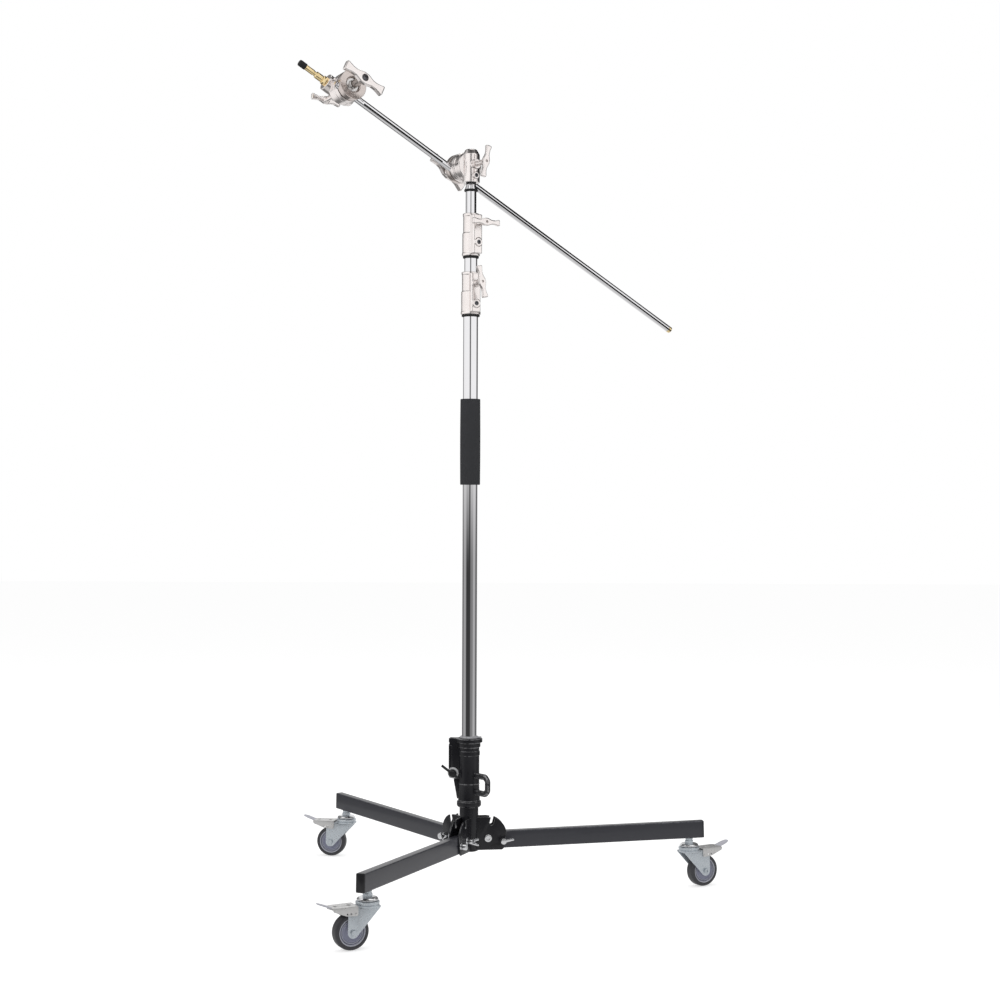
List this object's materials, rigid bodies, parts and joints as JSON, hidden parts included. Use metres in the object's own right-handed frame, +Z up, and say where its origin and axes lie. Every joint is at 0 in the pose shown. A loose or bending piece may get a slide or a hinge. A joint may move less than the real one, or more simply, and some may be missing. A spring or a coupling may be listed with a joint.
{
  "type": "roller stand for lights",
  "caption": "Wheeled light stand with folding box-tube legs, clamped telescoping chrome column and a boom arm between two grip heads ending in a brass stud.",
  "frame": {"origin": "middle of the bounding box on the floor; the column stands at x -0.0939 m, y 0.0487 m", "axes": "+Z up along the column, -Y towards the picture's camera, +X to the right of the picture"},
  "size_m": [1.056, 0.9966, 1.908],
  "materials": {
    "black_casting": "fine black texture coat on cast aluminium",
    "leg_paint": "dark grey satin coat on steel tube",
    "black_plastic": "moulded black nylon",
    "chrome_tube": "bright chrome plate on steel tube",
    "satin_casting": "satin silver die casting",
    "zinc_steel": "bright zinc plate on pressed steel",
    "wheel": "grey rubber tread on a grey hub",
    "foam": "closed-cell foam",
    "black_rubber": "smooth black rubber",
    "brass": "machined brass",
    "pale_bush": "pale grey nylon"
  },
  "bodies": {
    "base": {"base_hub": "black_casting", "receiver": "black_casting", "bush_ring": "pale_bush", "carry_handle": "black_casting", "clamp_washer": "zinc_steel", "pivot_bolt_right": "zinc_steel", "pivot_bolt_front": "zinc_steel", "pivot_bolt_back": "zinc_steel"},
    "leg_right_body": {"leg_right": "leg_paint", "leg_plug_right": "black_plastic", "caster_stem_right": "zinc_steel"},
    "lock_pin_right_body": {"lock_pin_right": "zinc_steel"},
    "caster_right_body": {"caster_fork_right": "zinc_steel", "caster_axle_right": "zinc_steel"},
    "wheel_right_body": {"wheel_right": "wheel"},
    "brake_right_body": {"brake_pedal_right": "zinc_steel"},
    "leg_front_body": {"leg_front": "leg_paint", "leg_plug_front": "black_plastic", "caster_stem_front": "zinc_steel"},
    "lock_pin_front_body": {"lock_pin_front": "zinc_steel"},
    "caster_front_body": {"caster_fork_front": "zinc_steel", "caster_axle_front": "zinc_steel"},
    "wheel_front_body": {"wheel_front": "wheel"},
    "brake_front_body": {"brake_pedal_front": "zinc_steel"},
    "leg_back_body": {"leg_back": "leg_paint", "leg_plug_back": "black_plastic", "caster_stem_back": "zinc_steel"},
    "lock_pin_back_body": {"lock_pin_back": "zinc_steel"},
    "caster_back_body": {"caster_fork_back": "zinc_steel", "caster_axle_back": "zinc_steel"},
    "wheel_back_body": {"wheel_back": "wheel"},
    "brake_back_body": {"brake_pedal_back": "zinc_steel"},
    "clamp_knob_body": {"clamp_knob": "black_casting"},
    "lower_column": {"lower_riser": "chrome_tube", "foam_grip": "foam", "collar_1": "satin_casting", "collar_1_ring": "black_rubber", "collar_1_screw": "zinc_steel"},
    "collar_1_wing_body": {"collar_1_wing": "satin_casting"},
    "mid_column": {"mid_riser": "chrome_tube", "collar_2": "satin_casting", "collar_2_ring": "black_rubber", "collar_2_screw": "zinc_steel"},
    "collar_2_wing_body": {"collar_2_wing": "satin_casting"},
    "top_column": {"top_riser": "chrome_tube", "riser_cap": "chrome_tube"},
    "head_1_body_part": {"head_1_body": "satin_casting"},
    "head_1_wing_body": {"head_1_wing": "satin_casting"},
    "head_1_discs": {"head_1_inner_disc": "satin_casting", "head_1_outer_disc": "satin_casting"},
    "head_1_handle_body": {"head_1_handle": "satin_casting"},
    "boom": {"boom_arm": "chrome_tube", "arm_tip": "brass"},
    "head_2_discs": {"head_2_inner_disc": "satin_casting", "head_2_outer_disc": "satin_casting"},
    "head_2_handle_body": {"head_2_handle": "satin_casting"},
    "head_2_body_part": {"head_2_body": "satin_casting"},
    "head_2_wing_body": {"head_2_wing": "satin_casting"},
    "stud_body": {"stud": "brass", "stud_cap": "black_rubber"}
  },
  "joints": [
    {"name": "fold_right", "type": "hinge", "parent": "base", "child": "leg_right_body", "pos_m": [-0.05079, 0.05459, 0.13], "axis": [0.1366, -0.9906, 0], "range_deg": [0, 86]},
    {"name": "lock_right", "type": "slide", "parent": "base", "child": "lock_pin_right_body", "axis": [-0.1366, 0.9906, 0], "range_m": [0, 0.009]},
    {"name": "swivel_right", "type": "hinge", "parent": "leg_right_body", "child": "caster_right_body", "pos_m": [0.42818, 0.12063, 0], "axis": [0, 0, 1], "continuous": true},
    {"name": "roll_right", "type": "hinge", "parent": "caster_right_body", "child": "wheel_right_body", "pos_m": [0.46142, 0.13905, 0.0375], "axis": [-0.4848, 0.8746, 0], "continuous": true},
    {"name": "brake_right", "type": "hinge", "parent": "caster_right_body", "child": "brake_right_body", "pos_m": [0.45617, 0.13614, 0.076], "axis": [-0.4848, 0.8746, 0], "range_deg": [0, 6]},
    {"name": "fold_front", "type": "hinge", "parent": "base", "child": "leg_front_body", "pos_m": [-0.11028, 0.00836, 0.13], "axis": [-0.9262, 0.377, 0], "range_deg": [0, 86]},
    {"name": "lock_front", "type": "slide", "parent": "base", "child": "lock_pin_front_body", "axis": [0.9262, -0.377, 0], "range_m": [0, 0.009]},
    {"name": "swivel_front", "type": "hinge", "parent": "leg_front_body", "child": "caster_front_body", "pos_m": [-0.29257, -0.43945, 0], "axis": [0, 0, 1], "continuous": true},
    {"name": "roll_front", "type": "hinge", "parent": "caster_front_body", "child": "wheel_front_body", "pos_m": [-0.32613, -0.4573, 0.0375], "axis": [0.4695, -0.8829, 0], "continuous": true},
    {"name": "brake_front", "type": "hinge", "parent": "caster_front_body", "child": "brake_front_body", "pos_m": [-0.32083, -0.45448, 0.076], "axis": [0.4695, -0.8829, 0], "range_deg": [0, 6]},
    {"name": "fold_back", "type": "hinge", "parent": "base", "child": "leg_back_body", "pos_m": [-0.12057, 0.083, 0.13], "axis": [0.7896, 0.6136, 0], "range_deg": [0, 86]},
    {"name": "lock_back", "type": "slide", "parent": "base", "child": "lock_pin_back_body", "axis": [-0.7896, -0.6136, 0], "range_m": [0, 0.009]},
    {"name": "swivel_back", "type": "hinge", "parent": "leg_back_body", "child": "caster_back_body", "pos_m": [-0.41724, 0.46478, 0], "axis": [0, 0, 1], "continuous": true},
    {"name": "roll_back", "type": "hinge", "parent": "caster_back_body", "child": "wheel_back_body", "pos_m": [-0.45467, 0.47138, 0.0375], "axis": [-0.1736, -0.9848, 0], "continuous": true},
    {"name": "brake_back", "type": "hinge", "parent": "caster_back_body", "child": "brake_back_body", "pos_m": [-0.44876, 0.47034, 0.076], "axis": [-0.1736, -0.9848, 0], "range_deg": [0, 6]},
    {"name": "column_clamp", "type": "hinge", "parent": "base", "child": "clamp_knob_body", "pos_m": [-0.12933, 0.0549, 0.281], "axis": [-0.1736, -0.9848, 0], "range_deg": [-60, 90]},
    {"name": "column_lift", "type": "slide", "parent": "base", "child": "lower_column", "axis": [0, 0, 1], "range_m": [0, 0.1]},
    {"name": "collar_1_clamp", "type": "hinge", "parent": "lower_column", "child": "collar_1_wing_body", "pos_m": [-0.09388, 0.04865, 1.4211], "axis": [0.4384, -0.8988, 0], "range_deg": [-90, 90]},
    {"name": "mid_riser_slide", "type": "slide", "parent": "lower_column", "child": "mid_column", "axis": [0, 0, 1], "range_m": [-0.03, 0.85]},
    {"name": "collar_2_clamp", "type": "hinge", "parent": "mid_column", "child": "collar_2_wing_body", "pos_m": [-0.09388, 0.04865, 1.5596], "axis": [0.5878, -0.809, 0], "range_deg": [-90, 90]},
    {"name": "top_riser_slide", "type": "slide", "parent": "mid_column", "child": "top_column", "axis": [0, 0, 1], "range_m": [0, 0.85]},
    {"name": "head_1_pan", "type": "hinge", "parent": "top_column", "child": "head_1_body_part", "pos_m": [-0.09388, 0.04865, 1.699], "axis": [0, 0, 1], "continuous": true},
    {"name": "head_1_pin_clamp", "type": "hinge", "parent": "head_1_body_part", "child": "head_1_wing_body", "pos_m": [-0.09388, 0.04865, 1.699], "axis": [0.549, -0.8358, 0], "range_deg": [-90, 90]},
    {"name": "boom_tilt", "type": "hinge", "parent": "head_1_body_part", "child": "head_1_discs", "pos_m": [-0.09388, 0.04865, 1.699], "axis": [-0.549, 0.8358, 0], "range_deg": [-25, 30]},
    {"name": "head_1_clamp", "type": "hinge", "parent": "head_1_discs", "child": "head_1_handle_body", "pos_m": [-0.09388, 0.04865, 1.699], "axis": [-0.549, 0.8358, 0], "range_deg": [-90, 90]},
    {"name": "boom_slide", "type": "slide", "parent": "head_1_discs", "child": "boom", "axis": [0.742, 0.4874, -0.4602], "range_m": [-0.15, 0.15]},
    {"name": "head_2_roll", "type": "hinge", "parent": "boom", "child": "head_2_discs", "pos_m": [-0.37203, -0.08142, 1.8385], "axis": [0.742, 0.4874, -0.4602], "range_deg": [-90, 90]},
    {"name": "head_2_clamp", "type": "hinge", "parent": "head_2_discs", "child": "head_2_handle_body", "pos_m": [-0.39303, -0.04063, 1.84784], "axis": [0.5918, -0.7988, 0.1082], "range_deg": [-90, 90]},
    {"name": "head_2_tilt", "type": "hinge", "parent": "head_2_discs", "child": "head_2_body_part", "pos_m": [-0.39303, -0.04063, 1.84784], "axis": [0.5918, -0.7988, 0.1082], "range_deg": [-60, 60]},
    {"name": "head_2_pin_clamp", "type": "hinge", "parent": "head_2_body_part", "child": "head_2_wing_body", "pos_m": [-0.39303, -0.04063, 1.84784], "axis": [-0.5918, 0.7988, -0.1082], "range_deg": [-90, 90]},
    {"name": "stud_turn", "type": "hinge", "parent": "head_2_body_part", "child": "stud_body", "pos_m": [-0.39303, -0.04063, 1.84784], "axis": [0.742, 0.4874, -0.4602], "continuous": true}
  ]
}
